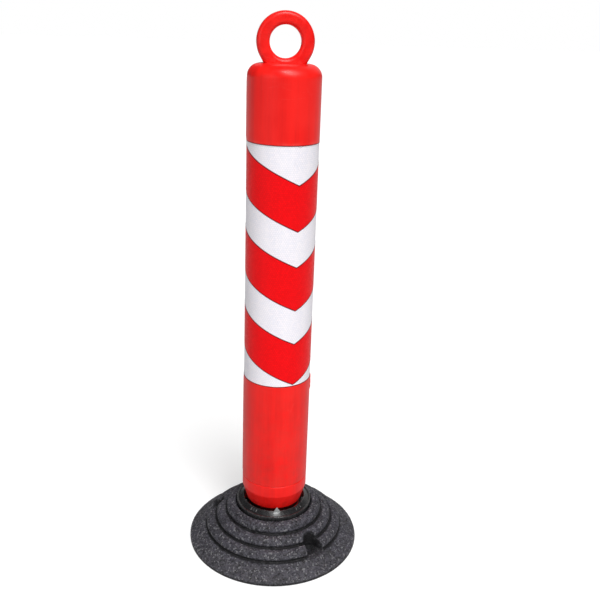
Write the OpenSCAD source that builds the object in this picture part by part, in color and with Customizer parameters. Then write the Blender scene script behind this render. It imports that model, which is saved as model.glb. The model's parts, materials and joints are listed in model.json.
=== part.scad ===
// Removable delineator post: a ringed plastic post that drops into a lock collar on a round rubber base.
// The origin is the centre of the base's underside, +Z points up and -Y is the front.

/* [Overall] */
// Height from the ground to the top of the lift ring
total_h = 1200; // [1000:10:1440]
// Outer diameter of the post
post_d = 150; // [124:2:180]
// Outer diameter of the rubber base
base_d = 400; // [352:2:480]

/* [Post] */
// Wall of the post tube and of its foot
post_wall = 4; // [3:0.5:6]
// Radius of the shoulder at the top of the tube
shoulder_r = 25; // [15:1:30]
// Height of the joint line between the tube and the foot
joint_z = 173; // [160:1:200]
// Height where the foot's straight side ends and its taper begins
taper_top_z = 144; // [138:1:150]
// Height where the taper reaches the mouth of the collar
taper_end_z = 111; // [108:1:114]
// How far the taper pulls in at its lower end
taper_inset = 11; // [9:0.5:12]
// How far the foot's spigot is set in from the post's side
spigot_inset = 15; // [13:0.5:18]
// Length of the plug that holds the foot inside the tube
plug_len = 40; // [25:1:60]
// How far the mould's parting bead stands proud
bead_h = 0.7; // [0.3:0.1:1.2]
// How far the untrimmed flash stands proud
flash_h = 2.2; // [1:0.1:3]
// Length of the untrimmed flash, just below the sheeting
flash_len = 44; // [20:1:80]

/* [Sheeting] */
// Height of the reflective sheeting
band_h = 522; // [440:1:560]
// Distance from the flat top of the post down to the sheeting
band_drop = 151; // [100:1:180]
// Depth of the shallow recess that the sheeting lies in
band_recess = 1.2; // [0.8:0.1:2]
// Thickness of the white sheeting
film_t = 0.35; // [0.2:0.05:0.5]
// Number of whole chevrons
chevron_count = 3; // [2:1:4]
// Height of a red chevron, measured straight up
red_h = 97; // [80:1:110]
// Height of the white between two chevrons
white_h = 75; // [60:1:90]
// How far a chevron rises from its tip to the back of the post
chevron_rise = 116; // [80:1:140]
// Distance from the lower edge of the sheeting to the lowest tip
tip_gap = 2.3; // [1:0.1:10]
// Direction that the chevrons' tips face, in degrees from +X
tip_azimuth = -68; // [-120:1:-60]

/* [Lift ring] */
// Outer diameter of the ring
ring_d = 115; // [100:1:125]
// Diameter of the ring's hole
ring_hole_d = 63; // [50:1:70]
// Thickness of the ring from front to back
ring_t = 26; // [20:1:32]
// Rounding of the ring's edges
ring_round = 9; // [6:0.5:11]
// Distance from the ring's centre down to the flat top of the post
ring_seat = 41.5; // [38:0.5:46]
// Radius of the stem that goes through the top of the post
stem_r = 12; // [9:0.5:14]
// Thickness of the nut on the stem
nut_h = 14; // [10:1:18]
// Distance across the flats of the nut
nut_flats = 36; // [32:1:44]
// Thickness of the washer under the nut
washer_t = 3; // [2:0.5:5]

/* [Lock collar] */
// Reach of the three bayonet lugs on the spigot
lug_reach = 10.5; // [9:0.5:12]
// Height of a lug
lug_h = 8; // [6:0.5:9]
// Height of the underside of the lugs
lug_z = 88; // [86:0.5:90]
// Angle that one lug spans
lug_angle = 30; // [20:1:34]
// Angle that one tab of the collar spans
tab_angle = 40; // [30:1:44]
// Height of a tab
tab_h = 6; // [4:0.5:7]
// Height of the collar's upper inner edge
mouth_z = 110; // [109:0.5:114]
// Height of the collar's outer lip
lip_z = 102.5; // [101:0.5:104]
// Width of the collar, from its bearing face to its outside
collar_w = 12; // [11:0.5:16]
// Height of the triangular pointer above the collar's mouth
pointer_h = 9.5; // [6:0.5:12]
// Width of the pointer's foot
pointer_w = 15; // [10:1:18]

/* [Base] */
// Thickness of the base at its rim
rim_h = 9; // [6:0.5:12]
// Number of rounded ridges around the base
ridge_count = 3; // [2:1:3]
// Width of one ridge, measured outwards
ridge_run = 24.25; // [20:0.25:26]
// Drop of one ridge
ridge_drop = 19.75; // [16:0.25:21]
// How far a ridge bulges above the straight slope
ridge_bulge = 8; // [5:0.5:9]
// Radius of the groove at the foot of a ridge
groove_r = 1.6; // [0.8:0.1:2.5]
// Height of the floor of the well that the collar sits in
well_z = 80; // [78:1:82]
// Gap between the collar and the rubber
shadow_gap = 3; // [1.5:0.5:5]
// Directions of the anchor pockets, in degrees from +X
pocket_azimuths = [-58, 51.5, 161]; // [-180:0.5:180]
// Radius of the round inner end of an anchor pocket
pocket_r = 17.5; // [14:0.5:19]
// Height of an anchor pocket's floor
pocket_z = 30; // [20:1:34]
// Radius of the hole for an anchor bolt
anchor_r = 6.5; // [5:0.5:8]
// How much wider a pocket gets for each millimetre outwards
pocket_flare = 0.32; // [0:0.01:0.5]
// Distance of the two grip grooves under the base from the circle of anchor holes
grip_offset = 26; // [20:1:30]
// Width of a grip groove
grip_w = 8; // [4:1:10]
// Depth of a grip groove
grip_depth = 2; // [1:0.5:3]

/* [Socket] */
// Wall of the socket in the base
socket_wall = 5.2; // [4:0.1:6]
// Thickness of the socket's floor
socket_floor_t = 10; // [8:0.5:12]
// Thickness of the clamp plate under the base
plate_t = 3; // [2:0.5:4]
// Number of screws that hold the clamp plate
screw_count = 6; // [4:1:8]
// Radius of a clamp screw
screw_r = 2; // [1.5:0.25:2.5]
// Distance of the clamp screws from the middle
screw_ring_r = 45; // [40:1:48]
// Radius of the drain hole in the socket's floor
drain_r = 12; // [6:1:20]

/* [Fits] */
// Radial play of the spigot in the socket
socket_play = 0.8; // [0.4:0.1:1.5]
// Radial play around the lugs
lug_play = 1; // [0.5:0.1:1.5]
// Gap between the lock collar and the parts it turns on
turn_gap = 0.5; // [0.3:0.1:0.8]
// Gap between faces that rest on each other on different bodies
rest_gap = 0.3; // [0.2:0.05:0.5]
// Gap of parts that are glued, screwed or pushed together
fixed_gap = 0.05; // [0.02:0.01:0.1]

/* [Hidden] */
$fn = 96;

// Heights that follow from the overall height
ring_z = total_h - ring_d / 2;
top_z = ring_z - ring_seat;
band_top_z = top_z - band_drop;
band_z = band_top_z - band_h;

// Radii of the post
post_r = post_d / 2;
tube_in_r = post_r - post_wall;
band_r = post_r - band_recess;
film_in_r = band_r + fixed_gap;
film_out_r = film_in_r + film_t;
red_in_r = film_out_r + fixed_gap;
red_out_r = red_in_r + film_t - fixed_gap;
taper_r = post_r - taper_inset;
spigot_r = post_r - spigot_inset;

// Radii of the lock collar and the socket, from the spigot outwards
lug_r = spigot_r + lug_reach;
cup_bore_r = spigot_r + socket_play;
cup_out_r = cup_bore_r + socket_wall;
chamber_r = lug_r + lug_play;
neck_r = chamber_r + 4;
collar_in_r = neck_r + turn_gap;
collar_out_r = collar_in_r + collar_w;
mouth_r = lug_r + 1.5 * lug_play;
tab_r = (spigot_r + mouth_r) / 2;
flange_r = collar_in_r + collar_w * 2 / 3;
well_r = collar_out_r + shadow_gap;
barrel_r = neck_r + 1.5;

// Heights of the socket and the lock collar
plate_z = 3;
cup_z = plate_z + plate_t;
seat_z = cup_z + socket_floor_t;
spigot_z = seat_z + rest_gap;
flange_t = 4;
collar_z = well_z + flange_t + rest_gap;
neck_z = lug_z + lug_h;
tab_z = neck_z + 2 * turn_gap;
chamber_z = well_z - 3;
barrel_z = chamber_z - socket_wall;
snap_z = collar_z + 5;
snap_h = 1.6;
snap_depth = 1.5;
lip_w = 4;
lip_drop = 1.5;

// Radii of the base
base_r = base_d / 2;
ridge_foot_z = well_z + 13.75 - ridge_count * ridge_drop;
ridge_foot_r = well_r - 2.25 + ridge_count * ridge_run;
pocket_centre_r = ridge_foot_r - 20.5;
anchor_centre_r = pocket_centre_r - 3;
plate_r = well_r - 3;
lug_count = 3;
pointer_azimuth = -90;
film_step = 3.75;
seam_angle = 0.6;

// Points of an arc from angle a to angle b, both in degrees
function arc(centre, r, a, b, steps) =
    [for (i = [0:steps]) let (t = a + (b - a) * i / steps) centre + r * [cos(t), sin(t)]];

// Outer foot of ridge k, where k is 0 at the collar
function ridge_foot(k) =
    [ridge_foot_r - (ridge_count - k) * ridge_run, ridge_foot_z + (ridge_count - k) * ridge_drop];

// Points of ridge k: an arc that bulges above the line between two feet
function ridge_arc(k) =
    let (
        a = ridge_foot(k),
        b = ridge_foot(k + 1),
        half = norm(b - a) / 2,
        r = (half * half + ridge_bulge * ridge_bulge) / (2 * ridge_bulge),
        out = [ridge_drop, ridge_run] / (2 * half),
        centre = (a + b) / 2 - out * (r - ridge_bulge),
        from = atan2(a[1] - centre[1], a[0] - centre[0]),
        to = atan2(b[1] - centre[1], b[0] - centre[0])
    )
    arc(centre, r, from, to, 14);

module around(count, start = 0) {
    for (i = [0:count - 1])
        rotate(start + i * 360 / count)
            children();
}

// A block that spans an angle, centred on +X
module ring_block(r_in, r_out, z, h, angle) {
    rotate(-angle / 2)
        rotate_extrude(angle = angle)
            translate([r_in, z])
                square([r_out - r_in, h]);
}

module ridges_profile() {
    polygon(concat(
        [[0, 0], [0, well_z]],
        [[ridge_foot(0)[0], well_z]],
        [for (k = [0:ridge_count - 1]) each ridge_arc(k)],
        [[base_r - 2.5, rim_h + 1.5], [base_r - 0.6, rim_h], [base_r, rim_h - 2], [base_r, 1.5], [base_r - 1.5, 0]]
    ));
}

module pocket_cut() {
    translate([pocket_centre_r, 0, pocket_z])
        cylinder(r = pocket_r, h = well_z);
    reach = base_r - pocket_centre_r;
    translate([0, 0, pocket_z])
        linear_extrude(well_z)
            polygon([
                [pocket_centre_r, -pocket_r],
                [pocket_centre_r + reach, -pocket_r - reach * pocket_flare],
                [pocket_centre_r + reach, pocket_r + reach * pocket_flare],
                [pocket_centre_r, pocket_r]
            ]);
    translate([anchor_centre_r, 0, -1])
        cylinder(r = anchor_r, h = pocket_z + 2);
}

module rubber_base() {
    color([0.13, 0.13, 0.15])
        difference() {
            rotate_extrude()
                ridges_profile();
            translate([0, 0, well_z])
                cylinder(r = well_r, h = well_z);
            translate([0, 0, barrel_z - rest_gap])
                cylinder(r = barrel_r + rest_gap, h = well_z);
            translate([0, 0, -1])
                cylinder(r = cup_out_r + rest_gap, h = well_z + 2);
            translate([0, 0, -1])
                cylinder(r = plate_r + 1, h = cup_z + 1);
            for (k = [1:ridge_count])
                rotate_extrude()
                    translate(ridge_foot(k))
                        circle(r = groove_r, $fn = 24);
            for (side = [-1, 1])
                rotate_extrude()
                    translate([anchor_centre_r + side * grip_offset - grip_w / 2, -1])
                        square([grip_w, grip_depth + 1]);
            for (azimuth = pocket_azimuths)
                rotate(azimuth)
                    pocket_cut();
        }
}

module socket_cup() {
    color([0.05, 0.05, 0.055])
        difference() {
            rotate_extrude()
                polygon([
                    [drain_r, cup_z], [cup_out_r, cup_z], [cup_out_r, barrel_z], [barrel_r, barrel_z],
                    [barrel_r, well_z], [flange_r, well_z], [flange_r, well_z + flange_t],
                    [neck_r, well_z + flange_t], [neck_r, neck_z], [chamber_r, neck_z],
                    [chamber_r, chamber_z], [cup_bore_r, chamber_z], [cup_bore_r, seat_z], [drain_r, seat_z]
                ]);
            rotate_extrude()
                translate([neck_r - snap_depth, snap_z])
                    square([2 * snap_depth, snap_h]);
            around(screw_count, 30)
                translate([screw_ring_r, 0, cup_z - 1])
                    cylinder(r = screw_r + fixed_gap, h = socket_floor_t - 1);
        }
}

module clamp_plate() {
    color([0.55, 0.56, 0.58])
        difference() {
            translate([0, 0, plate_z])
                cylinder(r = plate_r, h = plate_t);
            translate([0, 0, plate_z - 1])
                cylinder(r = drain_r + 6, h = plate_t + 2);
            around(screw_count, 30)
                translate([screw_ring_r, 0, plate_z - 1])
                    cylinder(r = screw_r + 0.6, h = plate_t + 2);
        }
}

module clamp_screws() {
    head_h = plate_z - 0.6;
    color([0.72, 0.73, 0.75])
        around(screw_count, 30)
            translate([screw_ring_r, 0, 0])
                difference() {
                    union() {
                        translate([0, 0, plate_z - head_h])
                            cylinder(r = 2.2 * screw_r, h = head_h);
                        cylinder(r = screw_r, h = cup_z + socket_floor_t - 3);
                    }
                    translate([0, 0, -1])
                        cylinder(r = 3 * screw_r, h = 1 + plate_z - head_h);
                    translate([0, 0, -1])
                        cylinder(r = screw_r, h = 2.4, $fn = 6);
                }
}

module snap_ring() {
    inset = rest_gap / 2;
    color([0.6, 0.61, 0.63])
        rotate(100)
            rotate_extrude(angle = 340)
                translate([neck_r - snap_depth + rest_gap, snap_z + inset])
                    square([2 * snap_depth + turn_gap - 2 * rest_gap, snap_h - 2 * inset]);
}

// A short raised grip rib that lies on the collar's sloping face
module grip_rib() {
    run = collar_out_r - lip_w - mouth_r;
    drop = mouth_z - (lip_z - lip_drop);
    translate([mouth_r + run / 2, 0, mouth_z - drop / 2])
        rotate([0, atan2(drop, run), 0])
            cube([run * 0.8, 2.2, 1.8], center = true);
}

module lock_collar() {
    cone_r = collar_out_r - lip_w;
    rib_step = 5;
    color([0.03, 0.03, 0.035])
        difference() {
            union() {
                rotate_extrude()
                    polygon([
                        [collar_in_r, collar_z], [collar_in_r, tab_z], [mouth_r, tab_z], [mouth_r, mouth_z - 0.8],
                        [mouth_r + 0.8, mouth_z], [cone_r, lip_z - lip_drop], [cone_r + 0.6, lip_z],
                        [collar_out_r - 0.8, lip_z], [collar_out_r, lip_z - 0.8], [collar_out_r, collar_z]
                    ]);
                around(lug_count, pointer_azimuth + 60)
                    ring_block(tab_r, mouth_r + 2, tab_z, tab_h, tab_angle);
                for (side = [-1, 1], k = [-1:1])
                    rotate(pointer_azimuth + side * 42 + k * rib_step)
                        grip_rib();
                for (k = [-1:1])
                    rotate(pointer_azimuth + 180 + k * rib_step)
                        grip_rib();
            }
            rotate_extrude()
                translate([collar_in_r - snap_depth, snap_z])
                    square([2 * snap_depth, snap_h]);
            rotate_extrude()
                translate([collar_in_r + 3.5, collar_z - 1])
                    square([collar_w - 7, 12]);
            rotate(pointer_azimuth)
                pointer_slot();
        }
}

module pointer_slot() {
    translate([mouth_r + 0.9 - fixed_gap, -pointer_w / 2 - fixed_gap, mouth_z - 4])
        cube([2.6 + 2 * fixed_gap, pointer_w + 2 * fixed_gap, 10]);
}

module collar_pointer() {
    foot_z = mouth_z - 4 + fixed_gap;
    rise = mouth_z - foot_z;
    color([0.72, 0.74, 0.74])
        rotate(pointer_azimuth)
            translate([mouth_r + 3.5, 0, foot_z])
                rotate([90, 0, -90])
                    linear_extrude(2.6)
                        polygon([
                            [-pointer_w / 2, 0], [pointer_w / 2, 0], [pointer_w / 2, rise - 1.5],
                            [0.6, rise + pointer_h], [-0.6, rise + pointer_h], [-pointer_w / 2, rise - 1.5]
                        ]);
}

module post_foot() {
    round_r = 6;
    plug_r = tube_in_r - fixed_gap;
    color([0.9, 0.12, 0.08]) {
        rotate_extrude()
            polygon(concat(
                [[spigot_r - post_wall, spigot_z], [spigot_r, spigot_z], [spigot_r, neck_z + 1]],
                [[taper_r - 1.5, taper_end_z - 5], [taper_r, taper_end_z]],
                arc([post_r - round_r, taper_top_z + round_r], round_r, -32, 0, 8),
                [[post_r, joint_z - 1.2], [post_r - 0.9, joint_z - 0.1], [plug_r, joint_z - 0.1]],
                [[plug_r, joint_z + plug_len], [plug_r - post_wall, joint_z + plug_len]],
                [[plug_r - post_wall, taper_top_z + 8], [taper_r - post_wall, taper_end_z]],
                [[spigot_r - post_wall, neck_z + 1]]
            ));
        around(lug_count, pointer_azimuth)
            ring_block(spigot_r - 1, lug_r, lug_z, lug_h, lug_angle);
    }
}

module parting_bead(from_z, to_z) {
    for (side = [-1, 1])
        translate([side * (post_r - 0.3), 0, from_z])
            cylinder(r = bead_h + 0.3, h = to_z - from_z, $fn = 16);
}

module post_tube() {
    top_wall = 5;
    inner_r = shoulder_r - top_wall;
    color([0.93, 0.13, 0.09])
        difference() {
            union() {
                rotate_extrude()
                    polygon(concat(
                        [[tube_in_r, joint_z], [post_r - 0.9, joint_z], [post_r, joint_z + 1.1]],
                        [[post_r, band_z - 0.6], [band_r, band_z], [band_r, band_top_z]],
                        [[post_r, band_top_z + 0.6]],
                        arc([post_r - shoulder_r, top_z - shoulder_r], shoulder_r, 0, 90, 18),
                        [[stem_r + rest_gap, top_z], [stem_r + rest_gap, top_z - top_wall]],
                        arc([tube_in_r - inner_r, top_z - top_wall - inner_r], inner_r, 90, 0, 12)
                    ));
                parting_bead(joint_z + 4, band_z - 2);
                parting_bead(band_top_z + 2, top_z - shoulder_r);
                translate([post_r - 0.5, -0.5, band_z - flash_len])
                    cube([flash_h + 0.5, 1, flash_len - 1]);
            }
            rotate_extrude()
                translate([tube_in_r - 30, joint_z - 1])
                    square([30, plug_len + 1]);
        }
}

// Half section of the ring as a full disc with rounded edges
module ring_disc_profile() {
    half_t = ring_t / 2;
    r = ring_d / 2;
    polygon(concat(
        [[0, -half_t]],
        arc([r - ring_round, -half_t + ring_round], ring_round, -90, 0, 8),
        arc([r - ring_round, half_t - ring_round], ring_round, 0, 90, 8),
        [[0, half_t]]
    ));
}

// The hole, which opens out to both faces and keeps a short straight land in the middle
module ring_hole_profile() {
    half_t = ring_t / 2;
    r = ring_hole_d / 2;
    polygon(concat(
        [[0, -half_t - 1], [r + ring_round, -half_t - 1]],
        arc([r + ring_round, -half_t + ring_round], ring_round, -90, -180, 8),
        arc([r + ring_round, half_t - ring_round], ring_round, 180, 90, 8),
        [[r + ring_round, half_t + 1], [0, half_t + 1]]
    ));
}

module lift_ring() {
    root_low = ring_seat + ring_round;
    side_r = ring_d / 2 - ring_round;
    lean = 30;
    start = [side_r * cos(lean), -side_r * sin(lean)];
    drop = root_low + start[1];
    ball_y = ring_t / 2 - ring_round;
    stem_len = ring_seat + 5 + washer_t + nut_h + 5;
    color([0.93, 0.13, 0.09])
        translate([0, 0, ring_z])
            difference() {
                union() {
                    rotate([90, 0, 0])
                        rotate_extrude()
                            ring_disc_profile();
                    difference() {
                        hull()
                            for (side = [-1, 1], y = [-ball_y, ball_y], t = [0, 1])
                                translate([side * (start[0] - t * drop * tan(lean)), y, start[1] - t * drop])
                                    sphere(r = ring_round, $fn = 32);
                        translate([-ring_d, -ring_d, -ring_seat - ring_d])
                            cube([2 * ring_d, 2 * ring_d, ring_d]);
                    }
                    translate([0, 0, -stem_len])
                        cylinder(r = stem_r, h = stem_len - ring_hole_d / 2 - 2);
                }
                rotate([90, 0, 0])
                    rotate_extrude()
                        ring_hole_profile();
                difference() {
                    translate([-ring_d, -ring_d, -ring_seat - ring_d])
                        cube([2 * ring_d, 2 * ring_d, ring_d]);
                    translate([0, 0, -stem_len - 1])
                        cylinder(r = stem_r, h = stem_len + 1);
                }
            }
}

module ring_washer() {
    color([0.62, 0.63, 0.65])
        translate([0, 0, top_z - 5 - washer_t])
            difference() {
                cylinder(r = 2.2 * stem_r, h = washer_t);
                translate([0, 0, -1])
                    cylinder(r = stem_r + rest_gap, h = washer_t + 2);
            }
}

module ring_nut() {
    color([0.15, 0.15, 0.16])
        translate([0, 0, top_z - 5 - washer_t - nut_h])
            difference() {
                cylinder(d = nut_flats / cos(30), h = nut_h, $fn = 6);
                translate([0, 0, -1])
                    cylinder(r = stem_r + fixed_gap, h = nut_h + 2);
            }
}

module white_sheeting() {
    color([0.93, 0.93, 0.94])
        rotate(tip_azimuth + 180 + seam_angle / 2)
            rotate_extrude(angle = 360 - seam_angle)
                translate([film_in_r, band_z + 0.5])
                    square([film_t, band_h - 1]);
}

// Height of the tip of chevron i, counted from the lowest
function tip_z(i) = band_z + tip_gap + i * (red_h + white_h);
function red_low(i, phi) = max(band_z + 0.6, tip_z(i) + chevron_rise * abs(phi) / 180);
function red_high(i, phi) = min(band_top_z - 0.6, tip_z(i) + red_h + chevron_rise * abs(phi) / 180);

// One strip of red film, wrapped from angle a to angle b, both counted from the chevrons' tips
module wrapped_red(i, a, b) {
    steps = 2 * ceil((b - a) / film_step / 2);
    sections = [for (k = [0:steps]) let (phi = a + (b - a) * k / steps, t = tip_azimuth + phi)
        [for (c = [[red_in_r, red_low(i, phi)], [red_out_r, red_low(i, phi)],
                [red_out_r, red_high(i, phi)], [red_in_r, red_high(i, phi)]])
            [c[0] * cos(t), c[0] * sin(t), c[1]]]];
    sides = [for (k = [0:steps - 1], s = [0:3]) let (p = 4 * k + s, q = 4 * k + (s + 1) % 4)
        each [[p, q, q + 4], [p, q + 4, p + 4]]];
    last = 4 * steps;
    color([0.86, 0.04, 0.07])
        polyhedron(
            points = [for (section = sections) each section],
            faces = concat([[0, 3, 2], [0, 2, 1]], sides, [[last, last + 1, last + 2], [last, last + 2, last + 3]])
        );
}

// Chevrons are numbered from the top, and the film stops at the seam at the back
module red_chevron(number) {
    edge = 180 - seam_angle / 2;
    wrapped_red(chevron_count - number, -edge, edge);
}

// What shows at the back of the chevron that the sheeting's lower edge cuts off
module red_chevron_corners() {
    edge = 180 - seam_angle / 2;
    start = 180 * (white_h - tip_gap + 3) / chevron_rise;
    for (side = [[-edge, -start], [start, edge]])
        wrapped_red(-1, side[0], side[1]);
}

rubber_base();
socket_cup();
clamp_plate();
clamp_screws();
snap_ring();
lock_collar();
collar_pointer();
post_foot();
post_tube();
lift_ring();
ring_washer();
ring_nut();
white_sheeting();
red_chevron(1);  // red_chevron_1
red_chevron(2);  // red_chevron_2
red_chevron(3);  // red_chevron_3
red_chevron_corners();
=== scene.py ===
import json
import math

import bmesh
import bpy
from mathutils import Matrix, Vector, noise


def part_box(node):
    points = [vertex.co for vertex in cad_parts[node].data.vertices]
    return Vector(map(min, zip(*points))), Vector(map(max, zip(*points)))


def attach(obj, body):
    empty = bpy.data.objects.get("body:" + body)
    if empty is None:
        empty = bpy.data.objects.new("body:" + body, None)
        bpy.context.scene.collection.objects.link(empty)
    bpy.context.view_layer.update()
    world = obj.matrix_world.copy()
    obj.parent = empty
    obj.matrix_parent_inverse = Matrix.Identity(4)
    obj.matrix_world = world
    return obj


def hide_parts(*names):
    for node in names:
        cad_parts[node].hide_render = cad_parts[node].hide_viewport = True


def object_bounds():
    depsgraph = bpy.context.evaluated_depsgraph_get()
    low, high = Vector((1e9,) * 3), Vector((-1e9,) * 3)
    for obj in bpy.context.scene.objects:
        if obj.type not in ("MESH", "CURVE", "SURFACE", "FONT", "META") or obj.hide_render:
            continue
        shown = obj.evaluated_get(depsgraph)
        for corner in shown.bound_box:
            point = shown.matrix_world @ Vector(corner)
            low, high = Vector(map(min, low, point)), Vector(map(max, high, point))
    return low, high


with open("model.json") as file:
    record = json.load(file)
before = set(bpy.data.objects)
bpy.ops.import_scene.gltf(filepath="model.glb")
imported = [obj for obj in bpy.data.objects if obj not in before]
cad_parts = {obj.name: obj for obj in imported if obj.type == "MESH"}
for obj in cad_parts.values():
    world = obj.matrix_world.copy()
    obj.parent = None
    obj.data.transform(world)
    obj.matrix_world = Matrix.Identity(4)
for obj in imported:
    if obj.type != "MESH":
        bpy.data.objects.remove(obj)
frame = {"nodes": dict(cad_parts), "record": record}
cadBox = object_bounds()
nodes = frame["nodes"]
scene = bpy.context.scene
print("frame loaded:", len(nodes), "nodes")

mm = 0.001

# camera, floor and light

viewSettings = {
    "place": (-0.1789, -1.6265, 1.2),
    "pitch": 19.99,
    "heading": -7.9,
    "roll": 2.05,
    "lens": 47.7,
}


def makeCamera(s):
    data = bpy.data.cameras.new("camera")
    data.lens = s["lens"]
    data.sensor_width = 36.0
    data.dof.use_dof = False
    camera = bpy.data.objects.new("camera", data)
    scene.collection.objects.link(camera)
    turn = Matrix.Rotation(math.radians(s["heading"]), 4, "Z")
    tilt = Matrix.Rotation(math.radians(90 - s["pitch"]), 4, "X")
    roll = Matrix.Rotation(math.radians(s["roll"]), 4, "Z")
    camera.matrix_world = Matrix.Translation(s["place"]) @ turn @ tilt @ roll
    scene.camera = camera


# azimuth and height say where the light comes from, spread how wide its source looks
lightSettings = {
    "key": {"azimuth": -70, "height": 48, "spread": 32, "power": 2.2},
    "top": {"azimuth": -85, "height": 66, "spread": 18, "power": 1.5},
    "fill": {"azimuth": -140, "height": 8, "spread": 50, "power": 0.7},
    "back": {"azimuth": 70, "height": 30, "spread": 60, "power": 0.35},
}
lightDistance = 3.0
surroundings = {
    "seen": 1.0,
    "ambient": 0.09,
    "white": (1.0, 1.0, 1.0, 1.0),
    "floor": (0.55, 0.55, 0.55, 1.0),
    "floorGlow": 0.5,
    "floorRough": 0.95,
    "floorSize": 30.0,
    "floorGap": 0.3 * mm,
}


def makeLights(lights, s):
    for name, lamp in lights.items():
        data = bpy.data.lights.new(name, "SUN")
        data.energy = lamp["power"]
        data.angle = math.radians(lamp["spread"])
        light = bpy.data.objects.new(name, data)
        scene.collection.objects.link(light)
        azimuth = math.radians(lamp["azimuth"])
        height = math.radians(lamp["height"])
        flat = math.cos(height)
        source = Vector((math.cos(azimuth) * flat, math.sin(azimuth) * flat, math.sin(height)))
        light.location = source * lightDistance
        light.rotation_euler = source.to_track_quat("Z", "Y").to_euler()
    world = bpy.data.worlds.new("studio")
    world.use_nodes = True
    tree = world.node_tree
    strength = tree.nodes.new("ShaderNodeMapRange")
    strength.inputs["To Min"].default_value = s["ambient"]
    strength.inputs["To Max"].default_value = s["seen"]
    seen = tree.nodes.new("ShaderNodeLightPath").outputs["Is Camera Ray"]
    tree.links.new(seen, strength.inputs["Value"])
    tree.links.new(strength.outputs["Result"], tree.nodes["Background"].inputs["Strength"])
    tree.nodes["Background"].inputs["Color"].default_value = s["white"]
    scene.world = world
    scene.view_settings.view_transform = "Standard"


def makeFloor(s):
    bm = bmesh.new()
    bmesh.ops.create_grid(bm, x_segments=2, y_segments=2, size=s["floorSize"])
    mesh = bpy.data.meshes.new("floor")
    bm.to_mesh(mesh)
    bm.free()
    floor = bpy.data.objects.new("floor", mesh)
    scene.collection.objects.link(floor)
    floor.location.z = cadBox[0][2] - s["floorGap"]
    paint = bpy.data.materials.new("floorPaint")
    paint.use_nodes = True
    shader = paint.node_tree.nodes["Principled BSDF"]
    shader.inputs["Base Color"].default_value = s["floor"]
    shader.inputs["Roughness"].default_value = s["floorRough"]
    shader.inputs["Specular IOR Level"].default_value = 0.0
    shader.inputs["Emission Color"].default_value = s["white"]
    glow = paint.node_tree.nodes.new("ShaderNodeMapRange")
    glow.inputs["To Max"].default_value = s["floorGlow"]
    seen = paint.node_tree.nodes.new("ShaderNodeLightPath").outputs["Is Camera Ray"]
    paint.node_tree.links.new(seen, glow.inputs["Value"])
    paint.node_tree.links.new(glow.outputs["Result"], shader.inputs["Emission Strength"])
    mesh.materials.append(paint)


makeCamera(viewSettings)
makeLights(lightSettings, surroundings)
makeFloor(surroundings)
print("camera, lights and floor made")

# sizes that the frame gives

tubeLow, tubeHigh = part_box("post_tube")
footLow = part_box("post_foot")[0]
bandLow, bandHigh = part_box("white_sheeting")
ringLow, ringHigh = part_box("lift_ring")
collarLow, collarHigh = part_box("lock_collar")
chevronLow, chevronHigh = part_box("red_chevron_3")
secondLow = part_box("red_chevron_2")[0]
postRadius = -tubeLow.y
topZ = tubeHigh.z
jointZ = tubeLow.z
bandRadius = bandHigh.y - 0.4 * mm
redHeight = 97.0 * mm

# shorthands for building shader trees


def addNode(tree, kind, values=None, **settings):
    node = tree.nodes.new(kind)
    for key, value in settings.items():
        setattr(node, key, value)
    for key, value in (values or {}).items():
        node.inputs[key].default_value = value
    return node


def plug(tree, value, socket):
    if isinstance(value, bpy.types.NodeSocket):
        tree.links.new(value, socket)
    elif isinstance(value, tuple) and len(value) == 3 and socket.type == "RGBA":
        socket.default_value = (*value, 1.0)
    else:
        socket.default_value = value


def maths(tree, operation, *values, clamp=False):
    node = addNode(tree, "ShaderNodeMath", operation=operation, use_clamp=clamp)
    for value, socket in zip(values, node.inputs):
        plug(tree, value, socket)
    return node.outputs[0]


def vectorMaths(tree, operation, *values):
    node = addNode(tree, "ShaderNodeVectorMath", operation=operation)
    for value, socket in zip(values, node.inputs):
        plug(tree, value, socket)
    return node.outputs["Value" if operation == "DOT_PRODUCT" else "Vector"]


def remap(tree, value, low, high, toLow=0.0, toHigh=1.0, curve="LINEAR"):
    node = addNode(tree, "ShaderNodeMapRange", interpolation_type=curve)
    labels = ("Value", "From Min", "From Max", "To Min", "To Max")
    for label, number in zip(labels, (value, low, high, toLow, toHigh)):
        plug(tree, number, node.inputs[label])
    return node.outputs["Result"]


def noiseOf(tree, vector, scale, detail=3.0, roughness=0.55):
    node = addNode(tree, "ShaderNodeTexNoise", {"Detail": detail, "Roughness": roughness})
    plug(tree, vector, node.inputs["Vector"])
    plug(tree, scale, node.inputs["Scale"])
    return node.outputs["Fac"]


def cellsOf(tree, vector, scale, feature="F1"):
    node = addNode(tree, "ShaderNodeTexVoronoi", feature=feature)
    plug(tree, vector, node.inputs["Vector"])
    plug(tree, scale, node.inputs["Scale"])
    return node.outputs


def mixColor(tree, amount, first, second, blend="MIX"):
    node = addNode(tree, "ShaderNodeMix", data_type="RGBA", blend_type=blend)
    for value, place in ((amount, 0), (first, 6), (second, 7)):
        plug(tree, value, node.inputs[place])
    return node.outputs[2]


def tint(tree, color, layer, mask, amount):
    # lays a second colour over the first where the mask says so
    return mixColor(tree, maths(tree, "MULTIPLY", mask, amount), color, layer)


def objectPoint(tree):
    return addNode(tree, "ShaderNodeTexCoord").outputs["Object"]


def newGroup(name, numbers, outputs):
    group = bpy.data.node_groups.new(name, "ShaderNodeTree")
    group.interface.new_socket("Point", in_out="INPUT", socket_type="NodeSocketVector")
    for label, value in numbers.items():
        group.interface.new_socket(label, in_out="INPUT", socket_type="NodeSocketFloat").default_value = value
    for label in outputs:
        group.interface.new_socket(label, in_out="OUTPUT", socket_type="NodeSocketFloat")
    return group, addNode(group, "NodeGroupInput").outputs, addNode(group, "NodeGroupOutput").inputs


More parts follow.
